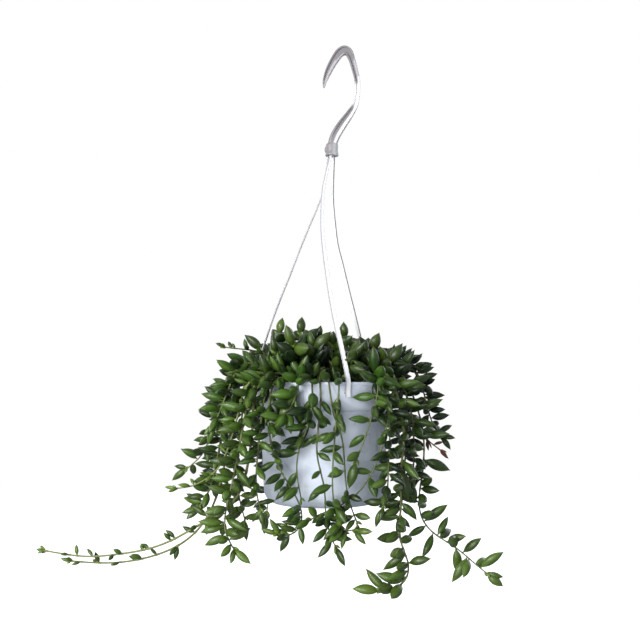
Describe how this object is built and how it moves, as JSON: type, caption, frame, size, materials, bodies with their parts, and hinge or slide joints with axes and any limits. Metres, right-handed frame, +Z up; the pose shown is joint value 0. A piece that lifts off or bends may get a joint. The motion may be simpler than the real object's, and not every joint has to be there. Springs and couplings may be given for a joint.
{
  "type": "potted string of beads in a hanging pot",
  "caption": "White hanging pot on a hook with flat tapes, filled with soil and a trailing succulent whose fleshy pointed leaves spill over the rim.",
  "frame": {"origin": "the seat inside the hook's crown, where the rail or nail that carries it bears", "axes": "+Z up as the pot hangs; +Y away from the side that the picture shows, so the picture looks along +Y with +X to its right"},
  "size_m": [0.4593, 0.2146, 0.5662],
  "materials": {
    "white_plastic": "satin",
    "potting_soil": "matte",
    "fleshy_leaf": "satin",
    "withered_leaf": "matte"
  },
  "bodies": {
    "root": {"hook": "white_plastic", "pot": "white_plastic", "shoot_01": "fleshy_leaf", "shoot_02": "fleshy_leaf", "shoot_03": "fleshy_leaf", "shoot_04": "fleshy_leaf", "shoot_05": "fleshy_leaf", "shoot_06": "fleshy_leaf", "shoot_07": "fleshy_leaf", "shoot_08": "fleshy_leaf", "shoot_09": "fleshy_leaf", "shoot_10": "fleshy_leaf", "shoot_11": "fleshy_leaf", "shoot_12": "fleshy_leaf", "shoot_13": "fleshy_leaf", "shoot_14": "fleshy_leaf", "shoot_15": "fleshy_leaf", "shoot_16": "fleshy_leaf", "soil": "potting_soil", "tape_front": "white_plastic", "tape_left": "white_plastic", "tape_right": "white_plastic", "trail_back_a": "fleshy_leaf", "trail_back_b": "fleshy_leaf", "trail_back_c": "fleshy_leaf", "trail_back_d": "fleshy_leaf", "trail_bead_chain": "fleshy_leaf", "trail_front_beads": "fleshy_leaf", "trail_front_diag": "fleshy_leaf", "trail_front_hook": "fleshy_leaf", "trail_front_low": "fleshy_leaf", "trail_front_mid": "fleshy_leaf", "trail_front_plump": "fleshy_leaf", "trail_front_right": "fleshy_leaf", "trail_left_back": "fleshy_leaf", "trail_left_edge": "fleshy_leaf", "trail_left_front": "fleshy_leaf", "trail_left_inner": "fleshy_leaf", "trail_left_light": "fleshy_leaf", "trail_left_long": "fleshy_leaf", "trail_left_long_low": "fleshy_leaf", "trail_left_mass": "fleshy_leaf", "trail_left_stub": "fleshy_leaf", "trail_left_thin": "fleshy_leaf", "trail_pot_hug": "fleshy_leaf", "trail_right_back": "fleshy_leaf", "trail_right_dark": "fleshy_leaf", "trail_right_inner": "fleshy_leaf", "trail_right_long": "fleshy_leaf", "trail_right_main": "fleshy_leaf", "trail_right_outer": "fleshy_leaf", "trail_right_side": "fleshy_leaf", "trail_right_top": "fleshy_leaf", "trail_withered": "withered_leaf"}
  },
  "joints": []
}
